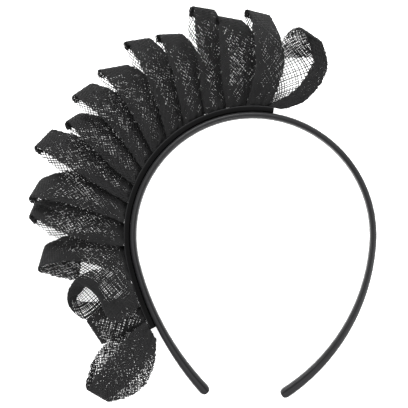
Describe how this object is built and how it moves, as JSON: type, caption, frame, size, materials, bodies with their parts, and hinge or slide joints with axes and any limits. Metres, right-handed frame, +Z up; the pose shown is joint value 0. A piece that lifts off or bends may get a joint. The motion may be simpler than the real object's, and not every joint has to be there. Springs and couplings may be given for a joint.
{
  "type": "fascinator headband",
  "caption": "Satin-covered headband with a ruffle of folded open-weave straw-cloth loops along its crown and one side.",
  "frame": {"origin": "middle of the whole piece's box, at the bottom: the surface that it lies on, on its side", "axes": "the headband lies on its side: +Z is up and looks out of the picture, +Y points from the tips to the crown, +X to the wearer's bare side as the picture shows it on the right"},
  "size_m": [0.1868, 0.2128, 0.0256],
  "materials": {
    "satin": "black satin ribbon, soft sheen along the band",
    "base_cloth": "black cloth strip with a bound edge",
    "straw_cloth": "black open-weave straw cloth, matt, see-through in one layer"
  },
  "bodies": {
    "root": {"headband": "satin", "base_strip": "base_cloth", "loop_01_open": "straw_cloth", "loop_02": "straw_cloth", "loop_03": "straw_cloth", "loop_04": "straw_cloth", "loop_05": "straw_cloth", "loop_06": "straw_cloth", "loop_07": "straw_cloth", "loop_08": "straw_cloth", "loop_09": "straw_cloth", "loop_10": "straw_cloth", "loop_11": "straw_cloth", "loop_12": "straw_cloth", "loop_13": "straw_cloth", "loop_14_curled": "straw_cloth", "loop_15": "straw_cloth", "loop_16": "straw_cloth"}
  },
  "joints": []
}
